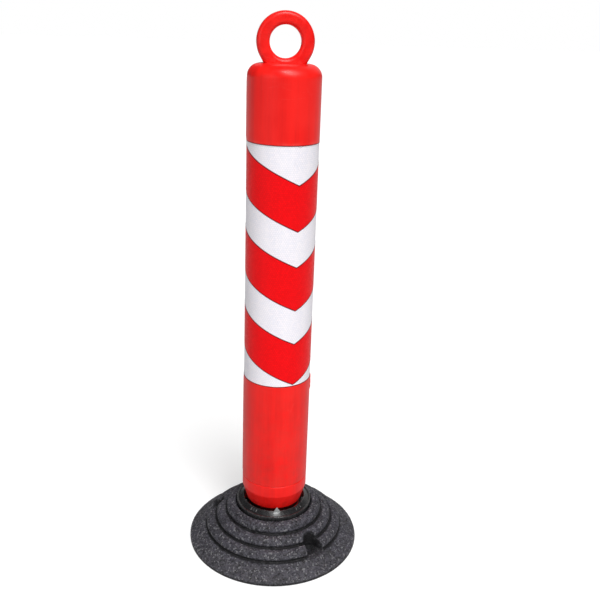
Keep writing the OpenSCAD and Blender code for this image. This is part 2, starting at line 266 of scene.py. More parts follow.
def useGroup(tree, group, point, **values):
    node = addNode(tree, "ShaderNodeGroup", node_tree=group)
    for socket in node.inputs:
        key = socket.name[0].lower() + socket.name[1:].replace(" ", "")
        if key in values:
            socket.default_value = values[key]
    plug(tree, point, node.inputs["Point"])
    return node.outputs


# effects that several materials share


def buildEdgeWear():
    group, given, out = newGroup("edgeWear", {"Scale": 60.0, "Amount": 0.5}, ("Edge", "Hollow"))
    # pointiness is 0.5 on flat ground, more on edges and less in hollows
    edgeFrom, edgeTo = 0.505, 0.58
    hollowFrom, hollowTo = 0.497, 0.43
    pointiness = addNode(group, "ShaderNodeNewGeometry").outputs["Pointiness"]
    broken = remap(group, noiseOf(group, given["Point"], given["Scale"], 4.0, 0.65), 0.4, 0.62)
    edge = maths(group, "MULTIPLY", remap(group, pointiness, edgeFrom, edgeTo), broken)
    hollow = remap(group, pointiness, hollowFrom, hollowTo)
    plug(group, maths(group, "MULTIPLY", edge, given["Amount"], clamp=True), out["Edge"])
    plug(group, maths(group, "MULTIPLY", hollow, given["Amount"], clamp=True), out["Hollow"])
    return group


def buildDustAndShadeByHeight():
    # a patchy layer that grows towards the bottom; it is real dust on most parts and painted shade on the
    # post's foot
    group, given, out = newGroup(
        "roadDust",
        {"Full Height": 0.0, "Clear Height": 0.3, "Scale": 30.0, "Amount": 0.3}, ("Dust",))
    split = addNode(group, "ShaderNodeSeparateXYZ")
    plug(group, given["Point"], split.inputs[0])
    fade = remap(group, split.outputs["Z"], given["Clear Height"], given["Full Height"])
    patchy = remap(group, noiseOf(group, given["Point"], given["Scale"], 6.0, 0.7), 0.38, 0.68)
    dust = maths(group, "MULTIPLY", maths(group, "MULTIPLY", fade, patchy), given["Amount"], clamp=True)
    plug(group, dust, out["Dust"])
    return group


def buildFlowMarks():
    group, given, out = newGroup("flowMarks", {"Scale": 40.0, "Stretch": 0.06}, ("Streak", "Cloud"))
    squash = addNode(group, "ShaderNodeCombineXYZ", {"X": 1.0, "Y": 1.0})
    plug(group, given["Stretch"], squash.inputs["Z"])
    drawn = vectorMaths(group, "MULTIPLY", given["Point"], squash.outputs[0])
    plug(group, noiseOf(group, drawn, given["Scale"], 5.0, 0.62), out["Streak"])
    cloudShare = 0.35
    wide = maths(group, "MULTIPLY", given["Scale"], cloudShare)
    plug(group, noiseOf(group, given["Point"], wide, 3.0, 0.5), out["Cloud"])
    return group


def buildFineGrain():
    group, given, out = newGroup(
        "fineGrain", {"Grain Scale": 1100.0, "Speck Scale": 170.0}, ("Grain", "Speck"))
    speckLimit = 0.84
    plug(group, noiseOf(group, given["Point"], given["Grain Scale"], 2.0, 0.5), out["Grain"])
    cells = cellsOf(group, given["Point"], given["Speck Scale"])
    rare = maths(group, "GREATER_THAN", cells["Color"], speckLimit)
    dot = remap(group, cells["Distance"], 0.3, 0.1, curve="SMOOTHSTEP")
    plug(group, maths(group, "MULTIPLY", rare, dot), out["Speck"])
    return group


def buildScratches():
    group, given, out = newGroup(
        "fineScratches", {"Scale": 30.0, "Width": 0.012, "Amount": 0.5}, ("Scratch",))
    upright = (1.0, 1.0, 0.12)
    level = (0.25, 0.25, 1.0)
    patchShare = 0.8
    lines = None
    for stretch in (upright, level):
        drawn = vectorMaths(group, "MULTIPLY", given["Point"], stretch)
        field = noiseOf(group, drawn, given["Scale"], 1.0, 0.4)
        away = maths(group, "ABSOLUTE", maths(group, "SUBTRACT", field, 0.5))
        line = maths(group, "SUBTRACT", 1.0, maths(group, "DIVIDE", away, given["Width"]), clamp=True)
        lines = line if lines is None else maths(group, "MAXIMUM", lines, line)
    place = maths(group, "MULTIPLY", given["Scale"], patchShare)
    here = remap(group, noiseOf(group, given["Point"], place, 4.0, 0.7), 0.55, 0.68)
    broken = maths(group, "MULTIPLY", lines, here)
    scratch = maths(group, "MULTIPLY", broken, given["Amount"], clamp=True)
    plug(group, scratch, out["Scratch"])
    return group


def buildFilmCells():
    # six-sided cells laid round the post, a whole number of them to the turn
    group, given, out = newGroup(
        "filmCells", {"Cells Around": 96.0, "Radius": 0.074, "Line": 0.07}, ("Line", "Cell"))
    # whole turns and cells that are added to keep both counts above zero
    spareTurns = 2.0
    spareCells = 40.0
    place = addNode(group, "ShaderNodeSeparateXYZ")
    plug(group, given["Point"], place.inputs[0])
    turn = maths(group, "ARCTAN2", place.outputs["Y"], place.outputs["X"])
    turns = maths(group, "ADD", maths(group, "DIVIDE", turn, 2 * math.pi), spareTurns)
    around = maths(group, "MULTIPLY", turns, given["Cells Around"])
    girth = maths(group, "MULTIPLY", given["Radius"], 2 * math.pi)
    width = maths(group, "DIVIDE", girth, given["Cells Around"])
    up = maths(group, "ADD", maths(group, "DIVIDE", place.outputs["Z"], width), spareCells)
    flat = addNode(group, "ShaderNodeCombineXYZ")
    plug(group, around, flat.inputs["X"])
    plug(group, up, flat.inputs["Y"])
    period = (1.0, math.sqrt(3), 1.0)
    half = (0.5, math.sqrt(3) / 2, 0.0)
    wrapped = vectorMaths(group, "MODULO", flat.outputs[0], period)
    rowOne = vectorMaths(group, "SUBTRACT", wrapped, half)
    moved = vectorMaths(group, "ADD", flat.outputs[0], half)
    rowTwo = vectorMaths(group, "SUBTRACT", vectorMaths(group, "MODULO", moved, period), half)
    distanceOne = vectorMaths(group, "DOT_PRODUCT", rowOne, rowOne)
    distanceTwo = vectorMaths(group, "DOT_PRODUCT", rowTwo, rowTwo)
    nearest = addNode(group, "ShaderNodeMix", data_type="VECTOR")
    plug(group, maths(group, "LESS_THAN", distanceOne, distanceTwo), nearest.inputs[0])
    plug(group, rowTwo, nearest.inputs[4])
    plug(group, rowOne, nearest.inputs[5])
    local = addNode(group, "ShaderNodeSeparateXYZ")
    plug(group, vectorMaths(group, "ABSOLUTE", nearest.outputs[1]), local.inputs[0])
    tallSide = maths(group, "MULTIPLY", local.outputs["Y"], math.sqrt(3) / 2)
    slant = maths(group, "ADD", maths(group, "MULTIPLY", local.outputs["X"], 0.5), tallSide)
    reach = maths(group, "MAXIMUM", local.outputs["X"], slant)
    start = maths(group, "SUBTRACT", 0.5, given["Line"])
    plug(group, remap(group, reach, start, 0.5, curve="SMOOTHSTEP"), out["Line"])
    centre = vectorMaths(group, "SUBTRACT", flat.outputs[0], nearest.outputs[1])
    # the middle is snapped, so that rounding doesn't change a cell's random value
    nudged = vectorMaths(group, "ADD", centre, (0.02, 0.02, 0.0))
    steady = vectorMaths(group, "SNAP", nudged, (0.05, 0.05, 1.0))
    random = addNode(group, "ShaderNodeTexWhiteNoise", noise_dimensions="2D")
    plug(group, steady, random.inputs["Vector"])
    plug(group, random.outputs["Value"], out["Cell"])
    return group


def buildChevronEdge():
    # how near a point of the sheeting is to a border between red and white
    group, given, out = newGroup(
        "chevronEdge",
        {"Tip Azimuth": 0.0, "Tip Height": 0.4, "Pitch": 0.17,
         "Red Height": 0.1, "Rise": 0.1, "Width": 0.001},
        ("Border",))
    place = addNode(group, "ShaderNodeSeparateXYZ")
    plug(group, given["Point"], place.inputs[0])
    turn = maths(group, "ARCTAN2", place.outputs["Y"], place.outputs["X"])
    fromTip = maths(group, "SUBTRACT", turn, given["Tip Azimuth"])
    turn = maths(group, "WRAP", fromTip, math.pi, -math.pi)
    share = maths(group, "DIVIDE", maths(group, "ABSOLUTE", turn), math.pi)
    lift = maths(group, "MULTIPLY", share, given["Rise"])
    aboveTip = maths(group, "SUBTRACT", place.outputs["Z"], given["Tip Height"])
    above = maths(group, "SUBTRACT", aboveTip, lift)
    within = maths(group, "FLOORED_MODULO", above, given["Pitch"])
    toLow = maths(group, "MINIMUM", within, maths(group, "SUBTRACT", given["Pitch"], within))
    toHigh = maths(group, "ABSOLUTE", maths(group, "SUBTRACT", within, given["Red Height"]))
    away = maths(group, "DIVIDE", maths(group, "MINIMUM", toLow, toHigh), given["Width"])
    plug(group, remap(group, away, 0.9, 0.3, curve="SMOOTHSTEP"), out["Border"])
    return group


edgeWear = buildEdgeWear()
roadDust = buildDustAndShadeByHeight()
flowMarks = buildFlowMarks()
fineGrain = buildFineGrain()
fineScratches = buildScratches()
filmCells = buildFilmCells()
chevronEdge = buildChevronEdge()
print("shared effects made")

# materials


def newMaterial(name, **sockets):
    material = bpy.data.materials.new(name)
    material.use_nodes = True
    tree = material.node_tree
    shader = tree.nodes["Principled BSDF"]
    for key, value in sockets.items():
        shader.inputs[key.replace("_", " ")].default_value = value
    return material, tree, shader


def addBumps(tree, shader, *layers):
    # each layer is a height, a strength and a depth in metres
    normal = None
    for height, strength, depth in layers:
        bump = addNode(tree, "ShaderNodeBump", {"Strength": strength, "Distance": depth})
        plug(tree, height, bump.inputs["Height"])
        if normal:
            plug(tree, normal, bump.inputs["Normal"])
        normal = bump.outputs["Normal"]
    plug(tree, normal, shader.inputs["Normal"])


def mouldedRed(name, s):
    material, tree, shader = newMaterial(name, Specular_IOR_Level=s["shine"])
    point = objectPoint(tree)
    flow = useGroup(tree, flowMarks, point, scale=s["flowScale"], stretch=s["flowStretch"])
    grain = useGroup(
        tree, fineGrain, point, grainScale=s["grainScale"], speckScale=s["speckScale"])
    wear = useGroup(tree, edgeWear, point, scale=s["wearScale"], amount=s["wear"])
    scratches = useGroup(
        tree, fineScratches, point,
        scale=s["scratchScale"], width=s["scratchWidth"], amount=s["scratch"])
    dust = useGroup(
        tree, roadDust, point, fullHeight=s["dustFrom"], clearHeight=s["dustTo"],
        scale=s["dustScale"], amount=s["dust"])
    streak = remap(tree, flow["Streak"], *s["streakRange"])
    cloud = remap(tree, flow["Cloud"], *s["cloudRange"])
    color = mixColor(tree, streak, s["deep"], s["color"])
    color = tint(tree, color, s["pale"], cloud, s["paleMix"])
    color = tint(tree, color, s["scuff"], wear["Edge"], s["wearMix"])
    color = tint(tree, color, s["scuff"], scratches["Scratch"], s["scratchMix"])
    # the dust layer is real dust on the post and painted shade on the foot's taper
    color = mixColor(tree, dust["Dust"], color, s["dirt"])
    height = addNode(tree, "ShaderNodeSeparateXYZ")
    plug(tree, point, height.inputs[0])
    # painted shade: a dark line round the part at each listed height
    for level, width in s["lines"]:
        away = maths(tree, "ABSOLUTE", maths(tree, "SUBTRACT", height.outputs["Z"], level))
        color = mixColor(tree, remap(tree, away, width, width - s["lineFade"]), color, s["line"])
    plug(tree, color, shader.inputs["Base Color"])
    low, high = s["rough"] - s["roughVary"], s["rough"] + s["roughVary"]
    rough = remap(tree, streak, 0.0, 1.0, low, high)
    dustAndShadeRoughening = maths(tree, "MULTIPLY", dust["Dust"], s["dustRough"])
    rough = maths(tree, "ADD", rough, dustAndShadeRoughening, clamp=True)
    plug(tree, rough, shader.inputs["Roughness"])
    addBumps(
        tree, shader,
        (flow["Streak"], 0.30, 0.5 * mm),
        (flow["Cloud"], 0.35, 1.2 * mm),
        (grain["Grain"], 0.20, 0.1 * mm),
        (grain["Speck"], s["speck"], 0.3 * mm),
        (scratches["Scratch"], 0.3, -0.1 * mm),
    )
    return material


def crumbRubber(name, s):
    material, tree, shader = newMaterial(name, Specular_IOR_Level=s["shine"])
    point = objectPoint(tree)
    shaken = addNode(tree, "ShaderNodeTexNoise", {"Scale": s["shakeScale"], "Detail": 2.0})
    plug(tree, point, shaken.inputs["Vector"])
    offset = vectorMaths(tree, "MULTIPLY", shaken.outputs["Color"], (s["shake"],) * 3)
    moved = vectorMaths(tree, "ADD", point, offset)
    crumbs = cellsOf(tree, moved, s["crumbScale"])
    split = addNode(tree, "ShaderNodeSeparateColor")
    plug(tree, crumbs["Color"], split.inputs[0])
    patch = noiseOf(tree, point, s["patchScale"], 6.0, 0.65)
    fine = noiseOf(tree, point, s["fineScale"], 3.0, 0.6)
    color = mixColor(tree, split.outputs["Red"], s["dark"], s["light"])
    color = mixColor(tree, remap(tree, patch, *s["patchRange"]), color, s["patch"], "ADD")
    pale = maths(tree, "GREATER_THAN", split.outputs["Green"], s["fleckLimit"])
    color = tint(tree, color, s["fleck"], pale, s["fleckMix"])
    wear = useGroup(tree, edgeWear, point, scale=s["wearScale"], amount=1.0)
    # painted shade in the hollows, found by pointiness
    color = tint(tree, color, s["hollowColor"], wear["Hollow"], s["hollow"])
    color = tint(tree, color, s["fleck"], wear["Edge"], s["edge"])
    dust = useGroup(
        tree, roadDust, point,
        fullHeight=0.0, clearHeight=s["dustTo"], scale=s["dustScale"], amount=s["dust"])
    color = mixColor(tree, dust["Dust"], color, s["dustColor"])
    # painted shade from the valley attribute: near black in the grooves, the anchor pockets and on the rim's
    # low outer face
    valley = addNode(tree, "ShaderNodeAttribute", attribute_name="valley").outputs["Fac"]
    color = tint(tree, color, s["valleyColor"], valley, s["valley"])
    plug(tree, color, shader.inputs["Base Color"])
    rough = remap(tree, split.outputs["Blue"], 0.0, 1.0, *s["roughRange"])
    plug(tree, rough, shader.inputs["Roughness"])
    bulge = maths(tree, "SUBTRACT", 1.0, crumbs["Distance"])
    addBumps(
        tree, shader,
        (patch, 0.5, 3.0 * mm),
        (bulge, s["relief"], 1.8 * mm),
        (split.outputs["Red"], 0.35, 0.7 * mm),
        (fine, 0.5, 0.5 * mm),
    )
    return material


def mouldedDark(name, s):
    material, tree, shader = newMaterial(
        name, Specular_IOR_Level=s["shine"],
        Coat_Weight=s["coat"], Coat_Roughness=s["coatRough"])
    point = objectPoint(tree)
    flow = useGroup(tree, flowMarks, point, scale=s["flowScale"], stretch=1.0)
    wear = useGroup(tree, edgeWear, point, scale=s["wearScale"], amount=s["wear"])
    scratches = useGroup(
        tree, fineScratches, point,
        scale=s["scratchScale"], width=s["scratchWidth"], amount=s["scratch"])
    dust = useGroup(
        tree, roadDust, point,
        fullHeight=0.0, clearHeight=s["dustTo"], scale=s["dustScale"], amount=s["dust"])
    cloud = remap(tree, flow["Cloud"], *s["cloudRange"])
    color = mixColor(tree, cloud, s["color"], s["pale"])
    color = mixColor(tree, wear["Edge"], color, s["scuff"])
    color = tint(tree, color, s["scuff"], scratches["Scratch"], s["scratchMix"])
    color = mixColor(tree, dust["Dust"], color, s["dirt"])
    plug(tree, color, shader.inputs["Base Color"])
    rough = remap(
        tree, flow["Streak"], *s["cloudRange"], s["rough"], s["rough"] + s["roughVary"])
    dustAndShadeRoughening = maths(tree, "MULTIPLY", dust["Dust"], s["dustRough"])
    rough = maths(tree, "ADD", rough, dustAndShadeRoughening, clamp=True)
    plug(tree, rough, shader.inputs["Roughness"])
    addBumps(
        tree, shader,
        (flow["Streak"], 0.25, 0.5 * mm),
        (flow["Cloud"], 0.3, 1.0 * mm),
        (scratches["Scratch"], 0.3, -0.1 * mm),
    )
    return material


chevronFacts = {
    "tipAzimuth": math.radians(-68),
    "tipHeight": chevronLow.z,
    "pitch": secondLow.z - chevronLow.z,
    "redHeight": redHeight,
    "rise": chevronHigh.z - chevronLow.z - redHeight,
}


def reflectiveFilm(name, s):
    material, tree, shader = newMaterial(
        name, Specular_IOR_Level=s["shine"],
        Coat_Weight=s["coat"], Coat_Roughness=s["coatRough"])
    point = objectPoint(tree)
    cells = useGroup(
        tree, filmCells, point, cellsAround=s["cells"], radius=bandRadius, line=s["lineWidth"])
    border = useGroup(tree, chevronEdge, point, width=s["borderWidth"], **chevronFacts)
    flow = useGroup(tree, flowMarks, point, scale=s["flowScale"], stretch=s["flowStretch"])
    scratches = useGroup(
        tree, fineScratches, point,
        scale=s["scratchScale"], width=s["scratchWidth"], amount=s["scratch"])
    color = tint(tree, s["color"], s["cell"], cells["Cell"], s["cellMix"])
    color = tint(tree, color, s["line"], cells["Line"], s["lineMix"])
    streak = remap(tree, flow["Streak"], *s["streakRange"])
    color = tint(tree, color, s["cloud"], streak, s["cloudMix"])
    color = mixColor(tree, scratches["Scratch"], color, s["line"])
    # painted shade along the borders between the red and the white sheeting
    color = tint(tree, color, s["border"], border["Border"], s["borderMix"])
    plug(tree, color, shader.inputs["Base Color"])
    low, high = s["rough"] - s["roughVary"], s["rough"] + s["roughVary"]
    rough = remap(tree, cells["Cell"], 0.0, 1.0, low, high)
    plug(tree, rough, shader.inputs["Roughness"])
    addBumps(
        tree, shader,
        (flow["Cloud"], 0.25, 0.8 * mm),
        (cells["Line"], 0.35, -0.15 * mm),
        (cells["Cell"], 0.25, 0.08 * mm),
    )
    return material


def platedSteel(name, s):
    material, tree, shader = newMaterial(name, Specular_IOR_Level=s["shine"])
    point = objectPoint(tree)
    flow = useGroup(tree, flowMarks, point, scale=s["flowScale"], stretch=1.0)
    wear = useGroup(tree, edgeWear, point, scale=s["wearScale"], amount=s["wear"])
    flakes = cellsOf(tree, point, s["flakeScale"])
    cloud = remap(tree, flow["Cloud"], *s["cloudRange"])
    color = mixColor(tree, cloud, s["color"], s["spangle"])
    color = mixColor(tree, wear["Hollow"], color, s["stain"])
    plug(tree, color, shader.inputs["Base Color"])
    rough = remap(tree, flakes["Color"], 0.0, 1.0, *s["roughRange"])
    plug(tree, rough, shader.inputs["Roughness"])
    plug(tree, remap(tree, flow["Cloud"], 0.3, 0.5, *s["metalRange"]), shader.inputs["Metallic"])
    addBumps(tree, shader, (flow["Streak"], 0.2, 0.3 * mm), (flakes["Distance"], 0.1, 0.1 * mm))
    return material


redPlastic = {
    "color": (0.90, 0.009, 0.006),
    "deep": (0.72, 0.005, 0.004),
    "pale": (0.95, 0.020, 0.015),
    "scuff": (0.88, 0.20, 0.17),
    "dirt": (0.22, 0.07, 0.05),
    "shine": 0.26,
    "rough": 0.34,
    "roughVary": 0.05,
    "lines": (),
    "line": (0.16, 0.004, 0.004),
    "lineFade": mm,
    "flowScale": 34.0,
    "flowStretch": 0.05,
    "streakRange": (0.36, 0.60),
    "cloudRange": (0.35, 0.65),
    "paleMix": 0.5,
    "grainScale": 900.0,
    "speckScale": 170.0,
    "speck": 0.4,
    "wear": 0.5,
    "wearScale": 70.0,
    "wearMix": 0.5,
    "scratch": 0.12,
    "scratchScale": 26.0,
    "scratchWidth": 0.010,
    "scratchMix": 0.6,
    "dust": 0.2,
    "dustFrom": 0.12,
    "dustTo": 0.5,
    "dustScale": 45.0,
    "dustRough": 0.3,
}
blackPlastic = {
    "color": (0.010, 0.010, 0.011),
    "pale": (0.020, 0.020, 0.022),
    "scuff": (0.16, 0.16, 0.16),
    "dirt": (0.24, 0.235, 0.23),
    "shine": 0.5,
    "coat": 0.0,
    "coatRough": 0.14,
    "rough": 0.36,
    "roughVary": 0.14,
    "flowScale": 90.0,
    "cloudRange": (0.35, 0.65),
    "wear": 0.4,
    "wearScale": 160.0,
    "scratch": 0.4,
    "scratchScale": 70.0,
    "scratchWidth": 0.02,
    "scratchMix": 0.5,
    "dust": 0.2,
    "dustTo": 0.2,
    "dustScale": 240.0,
    "dustRough": 0.5,
}
whiteFilm = {
    "color": (0.94, 0.90, 0.95),
    "cell": (0.84, 0.83, 0.91),
    "cellMix": 0.7,
    "line": (0.60, 0.60, 0.66),
    "lineMix": 0.8,
    "lineWidth": 0.07,
    "cloud": (0.95, 0.92, 0.95),
    "cloudMix": 0.4,
    "flowScale": 30.0,
    "flowStretch": 0.12,
    "streakRange": (0.4, 0.7),
    # a thin line of painted shade on the white side of each border
    "border": (0.30, 0.10, 0.12),
    "borderMix": 0.5,
    "borderWidth": 1.0 * mm,
    "scratch": 0.3,
    "scratchScale": 34.0,
    "scratchWidth": 0.008,
    "shine": 0.4,
    "coat": 0.2,
    "coatRough": 0.15,
    "rough": 0.36,
    "roughVary": 0.08,
    "cells": 96.0,
}
redFilm = {
    **whiteFilm,
    "color": (0.93, 0.0015, 0.0040),
    "cell": (0.80, 0.0010, 0.0030),
    "line": (0.60, 0.003, 0.008),
    "cloud": (0.88, 0.003, 0.007),
    "shine": 0.12,
    "coat": 0.03,
    # a dark band of painted shade on the red side of each border
    "border": (0.09, 0.001, 0.006),
    "borderMix": 1.0,
    "borderWidth": 3.4 * mm,
}
rubberLook = {
    "crumbScale": 330.0,
    "shake": 1.6 * mm,
    "shakeScale": 380.0,
    "dark": (0.002, 0.002, 0.003),
    "light": (0.060, 0.058, 0.072),
    "patch": (0.010, 0.009, 0.013),
    "patchScale": 30.0,
    "patchRange": (0.42, 0.60),
    "fineScale": 620.0,
    "fleck": (0.24, 0.24, 0.25),
    "fleckLimit": 0.90,
    "fleckMix": 0.5,
    # painted shade in the hollows
    "hollow": 0.9,
    "hollowColor": (0.002, 0.002, 0.003),
    # painted shade in the grooves, the pockets and on the rim
    "valley": 0.93,
    "valleyColor": (0.001, 0.001, 0.0015),
    "edge": 0.3,
    "wearScale": 120.0,
    "relief": 0.7,
    "roughRange": (0.50, 0.77),
    "shine": 0.35,
    "dust": 0.2,
    "dustTo": 0.09,
    "dustScale": 70.0,
    "dustColor": (0.13, 0.127, 0.125),
}
steelLook = {
    "shine": 0.5,
    "flowScale": 160.0,
    "cloudRange": (0.35, 0.65),
    "wear": 0.7,
    "wearScale": 200.0,
    "flakeScale": 240.0,
    "roughRange": (0.24, 0.46),
    "metalRange": (0.8, 1.0),
}
# painted shade: dark lines on the small steps beside the sheeting, and darkening over the taper down to a
# near-black ring at its lowest part
bandStep = 0.6 * mm
bandLine = 1.5 * mm
materials = {
    "post_red": mouldedRed("postRed", {
        **redPlastic,
        "lines": ((bandLow.z - bandStep, bandLine), (bandHigh.z + bandStep, bandLine))}),
    "foot_red": mouldedRed("footRed", {
        # on the foot the dust layer is painted shade: patchy dark red over the downward-facing taper, from
        # 142 mm down to 100 mm
        **redPlastic, "dust": 1.0, "dustFrom": 0.100, "dustTo": 0.142,
        # the near-black line round the taper at 104 mm is painted shade for the dark gap between the post and
        # the collar's mouth
        "dirt": (0.20, 0.004, 0.003), "lines": ((104 * mm, 7.5 * mm),),
        "line": (0.02, 0.002, 0.002)}),
    "ring_red": mouldedRed("ringRed", {
        **redPlastic, "flowStretch": 1.0, "dust": 0.0, "scratch": 0.2}),
    "crumb_rubber": crumbRubber("crumbRubber", rubberLook),
    "collar_gloss": mouldedDark("collarGloss", {
        **blackPlastic, "color": (0.004, 0.004, 0.005), "pale": (0.009, 0.009, 0.010),
        "coat": 0.3, "rough": 0.2, "wear": 0.7, "dust": 0.06}),
    "socket_plastic": mouldedDark("socketPlastic", blackPlastic),
    "nut_plastic": mouldedDark("nutPlastic", {**blackPlastic, "dust": 0.0}),
    "pointer_grey": mouldedDark("pointerGrey", {
        **blackPlastic, "color": (0.16, 0.17, 0.17), "pale": (0.22, 0.23, 0.23),
        "scuff": (0.5, 0.5, 0.5), "dust": 0.4}),
    "sheeting_white": reflectiveFilm("sheetingWhite", whiteFilm),
    "sheeting_red": reflectiveFilm("sheetingRed", redFilm),
    "zinc_plate": platedSteel("zincPlate", {
        **steelLook, "color": (0.52, 0.53, 0.55), "spangle": (0.62, 0.63, 0.64),
        "stain": (0.2, 0.19, 0.17)}),
    "zinc_screw": platedSteel("zincScrew", {
        **steelLook, "color": (0.60, 0.61, 0.63), "spangle": (0.70, 0.71, 0.72),
        "stain": (0.25, 0.23, 0.2)}),
    "spring_steel": platedSteel("springSteel", {
        **steelLook, "color": (0.40, 0.41, 0.43), "spangle": (0.5, 0.5, 0.52),
        "stain": (0.15, 0.13, 0.11)}),
}
print("materials made:", len(materials))

# shorthands for building meshes


def meshOf(bm, name):
    mesh = bpy.data.meshes.new(name)
    bm.to_mesh(mesh)
    bm.free()
    return mesh


def addPiece(name, mesh, slot, body, replaced, sharp=40):
    piece = bpy.data.objects.new(name, mesh)
    scene.collection.objects.link(piece)
    mesh.materials.clear()
    mesh.materials.append(materials[slot])
    mesh.shade_smooth()
    mesh.set_sharp_from_angle(angle=math.radians(sharp))
    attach(piece, body)
    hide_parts(replaced)


def roundCorners(points, steps=4):
    # points are radius, height and the rounding of that corner, round a closed outline
    outline = []
    for i, (r, z, rounding) in enumerate(points):
        corner = Vector((r, z))
        if rounding <= 0:
            outline.append(corner)
            continue
        before = Vector(points[i - 1][:2]) - corner
        after = Vector(points[(i + 1) % len(points)][:2]) - corner
        longest = 0.45 * min(before.length, after.length)
        reach = min(rounding / math.tan(before.angle(after) / 2), longest)
        start = corner + before.normalized() * reach
        end = corner + after.normalized() * reach
        for k in range(steps + 1):
            t = k / steps
            outline.append(start * (1 - t) ** 2 + corner * 2 * t * (1 - t) + end * t ** 2)
    return outline


def splitLong(outline, longestAt):
    result = []
    for i, a in enumerate(outline):
        b = outline[(i + 1) % len(outline)]
        count = max(1, math.ceil((b - a).length / longestAt((a + b) / 2)))
        result += [a.lerp(b, k / count) for k in range(count)]
    return result


def arcOf(centre, radius, start, end, steps):
    # points on an arc between two angles in degrees
    turns = [math.radians(start + (end - start) * k / steps) for k in range(steps + 1)]
    return [centre + radius * Vector((math.cos(a), math.sin(a))) for a in turns]


def evenAngles(count):
    return [2 * math.pi * i / count for i in range(count)]


def apart(angle, other):
    # between two directions, never more than half a turn
    return abs((angle - other + math.pi) % (2 * math.pi) - math.pi)


def joinColumns(bm, columns, closed=True):
    # faces between neighbouring closed rings of points
    count = len(columns[0])
    following = columns[1:] + columns[:1] if closed else columns[1:]
    for a, b in zip(columns, following):
        for k in range(count):
            n = (k + 1) % count
            bm.faces.new((a[k], b[k], b[n], a[n]))


def lathe(name, outline, angles, shift=None):
    bm = bmesh.new()
    columns = []
    for angle in angles:
        column = []
        for p in outline:
            r = p.x + (shift(p.x, p.y, angle) if shift else 0.0)
            column.append(bm.verts.new((r * math.cos(angle), r * math.sin(angle), p.y)))
        columns.append(column)
    joinColumns(bm, columns)
    bmesh.ops.recalc_face_normals(bm, faces=bm.faces)
    return meshOf(bm, name)


def softSector(rIn, rOut, low, high, azimuth, span, rounding):
    # a block that follows the circle over a span in degrees, with soft edges
    middle = Vector(((rIn + rOut) / 2, (low + high) / 2))
    around = ((rIn, low), (rOut, low), (rOut, high), (rIn, high))
    outline = roundCorners([(r, z, rounding) for r, z in around], 3)
    edge = math.degrees(rounding / rOut)
    shape = [(0, 0.5), (0.3 * edge, 0.85), (edge, 1.0)]
    steps = 12
    inside = [(edge + (span - 2 * edge) * k / steps, 1.0) for k in range(1, steps)]
    shape += inside + [(span - at, size) for at, size in reversed(shape)]
    bm = bmesh.new()
    columns = []
    for at, size in shape:
        angle = math.radians(azimuth - span / 2 + at)
        inset = (1 - size) * 2 * rounding
        column = []
        for p in outline:
            away = p - middle
            pulled = [math.copysign(max(abs(value) - inset, 0), value) for value in away]
            q = middle + Vector(pulled)
            column.append(bm.verts.new((q.x * math.cos(angle), q.x * math.sin(angle), q.y)))
        columns.append(column)
    joinColumns(bm, columns, closed=False)
    bm.faces.new(columns[0])
    bm.faces.new(columns[-1])
    bmesh.ops.recalc_face_normals(bm, faces=bm.faces)
    return meshOf(bm, "sector")


def softBox(size, rounding, place):
    bm = bmesh.new()
    bmesh.ops.create_cube(bm, size=1.0)
    bmesh.ops.scale(bm, vec=size, verts=bm.verts)
    if rounding:
        bmesh.ops.bevel(
            bm, geom=list(bm.edges), offset=rounding, segments=3, profile=0.5, affect="EDGES")
    bm.transform(place)
    return meshOf(bm, "box")


def applied(mesh, addModifiers):
    holder = bpy.data.objects.new("holder", mesh)
    scene.collection.objects.link(holder)
    addModifiers(holder)
    ready = holder.evaluated_get(bpy.context.evaluated_depsgraph_get())
    result = bpy.data.meshes.new_from_object(ready)
    bpy.data.objects.remove(holder)
    return result


def carve(mesh, tools, operation):
    # joins tools to a mesh, or cuts them out of it
    group = bpy.data.collections.new("tools")
    holders = []
    for tool in tools:
        holder = bpy.data.objects.new("tool", tool)
        group.objects.link(holder)
        holders.append(holder)
    scene.collection.children.link(group)

    def addBoolean(target):
        modifier = target.modifiers.new("carve", "BOOLEAN")
        modifier.operation = operation
        modifier.operand_type = "COLLECTION"
        modifier.collection = group
        modifier.solver = "EXACT"

    result = applied(mesh, addBoolean)
    for holder in holders:
        bpy.data.objects.remove(holder)
    bpy.data.collections.remove(group)
    return result


# the post's tube, with its moulding beads and a sliver of flash

tubeSettings = {
    "wall": 4.0 * mm,
    "topWall": 5.0 * mm,
    "shoulder": 25.0 * mm,
    "recess": 1.2 * mm,
    "soft": 0.4 * mm,
    "stemHole": 12.3 * mm,
    "endStep": (0.9 * mm, 1.1 * mm),
    "bead": 0.7 * mm,
    "beadWidth": 1.1 * mm,
    "flash": 2.2 * mm,
    "flashWidth": 0.6 * mm,
    "flashLength": 44.0 * mm,
    "wave": 0.14 * mm,
    "clear": 2.0 * mm,
    "fade": 6.0 * mm,
    "longest": (5.0 * mm, 40.0 * mm),
    "segments": 240,
    "closeAngles": (0.2, 0.36, 0.5, 0.66, 0.9, 1.15),
}


def between(value, low, high, fade):
    return max(0.0, min(1.0, (value - low) / fade, (high - value) / fade))


